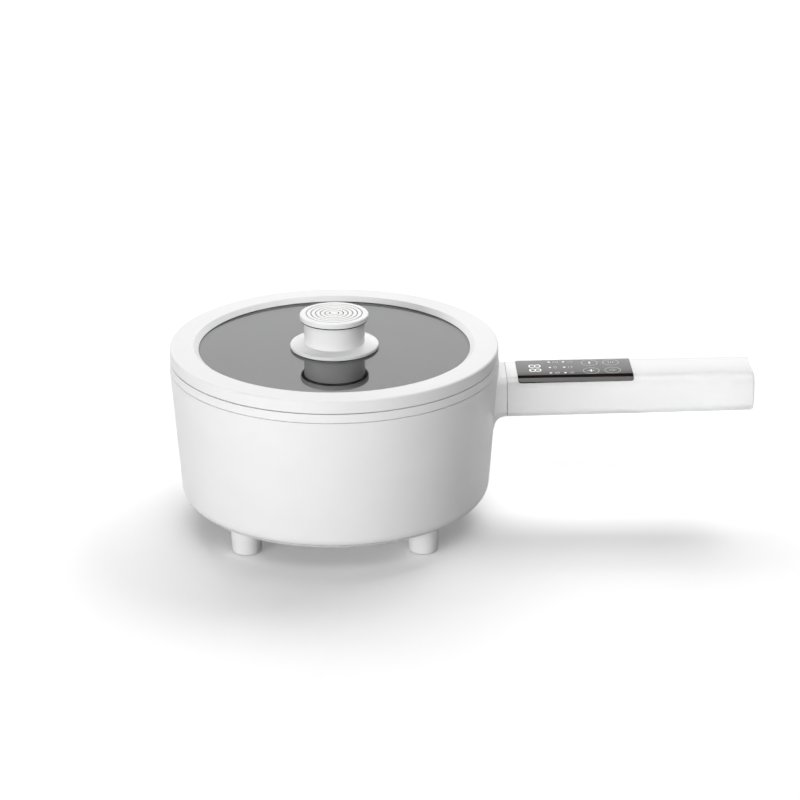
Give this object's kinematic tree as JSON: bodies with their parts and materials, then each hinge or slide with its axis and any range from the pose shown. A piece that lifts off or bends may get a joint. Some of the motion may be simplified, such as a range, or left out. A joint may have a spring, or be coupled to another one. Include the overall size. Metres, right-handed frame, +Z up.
{
  "type": "electric hot pot with lid",
  "caption": "Round electric hot pot on short feet, with a lift-off framed glass lid and spool knob, and one straight flat-topped handle that carries a touch panel.",
  "frame": {"origin": "on the pot's axis, on the surface that the feet stand on, midway between the four feet", "axes": "+X from the pot's axis along the handle, +Z up, the mains inlet faces +Y"},
  "size_m": [0.3746, 0.2116, 0.1403],
  "materials": {
    "white_plastic": "satin moulded white plastic",
    "knob_plastic": "satin moulded white plastic",
    "grey_rubber": "matt pale rubber",
    "nonstick_coat": "dark speckled non-stick coat",
    "tinted_glass": "smoke-tinted polished glass",
    "black_panel": "glossy black window",
    "black_silicone": "matt silicone",
    "black_plastic": "fine moulded texture",
    "cast_aluminium": "as cast",
    "steel": "plated",
    "brass": "turned",
    "circuit_board": "solder mask",
    "display_light": "diffusing",
    "foam_pad": "conductive foam",
    "lead_sleeve": "smooth sleeve"
  },
  "bodies": {
    "pot": {"base_cover": "white_plastic", "base_screws": "steel", "bracket_screws": "steel", "buzzer": "black_plastic", "control_panel": "black_panel", "controller_chip": "black_plastic", "core_screws": "steel", "digit_display": "display_light", "display_board": "circuit_board", "foot_front_left": "white_plastic", "foot_front_right": "white_plastic", "foot_pad_front_left": "grey_rubber", "foot_pad_front_right": "grey_rubber", "foot_pad_rear_left": "grey_rubber", "foot_pad_rear_right": "grey_rubber", "foot_rear_left": "white_plastic", "foot_rear_right": "white_plastic", "foot_screws": "steel", "handle_bracket": "steel", "handle_core": "black_plastic", "handle_screws": "steel", "handle_shell": "white_plastic", "heat_shield": "cast_aluminium", "heater_leads": "lead_sleeve", "heater_studs": "steel", "heater_terminals": "steel", "heating_plate": "cast_aluminium", "heating_tube": "steel", "indicator_leds": "display_light", "inlet_pins": "steel", "inlet_screws": "steel", "inner_pot": "nonstick_coat", "mains_leads": "lead_sleeve", "outer_shell": "white_plastic", "power_board": "circuit_board", "power_inlet": "black_plastic", "power_relay": "black_plastic", "rim_collar": "white_plastic", "rim_seal": "black_silicone", "signal_cable": "lead_sleeve", "stud_nuts": "steel", "supply_module": "black_plastic", "temperature_sensor": "steel", "terminal_block": "black_plastic", "thermal_fuse": "steel", "thermostat": "black_plastic", "touch_pads": "foam_pad"},
    "lid": {"lid_ring": "white_plastic", "lid_glass": "tinted_glass", "glass_gasket": "black_silicone", "lid_retainer": "black_plastic", "lid_seal": "black_silicone", "knob_flange": "knob_plastic", "knob_grip": "knob_plastic", "knob_cap": "knob_plastic", "knob_gasket": "black_silicone", "knob_insert": "brass", "knob_washer": "steel", "knob_screw": "steel", "lower_gasket": "black_silicone"}
  },
  "joints": [
    {"name": "lid_lift", "type": "slide", "parent": "pot", "child": "lid", "axis": [0, 0, 1], "range_m": [0, 0.12]}
  ]
}
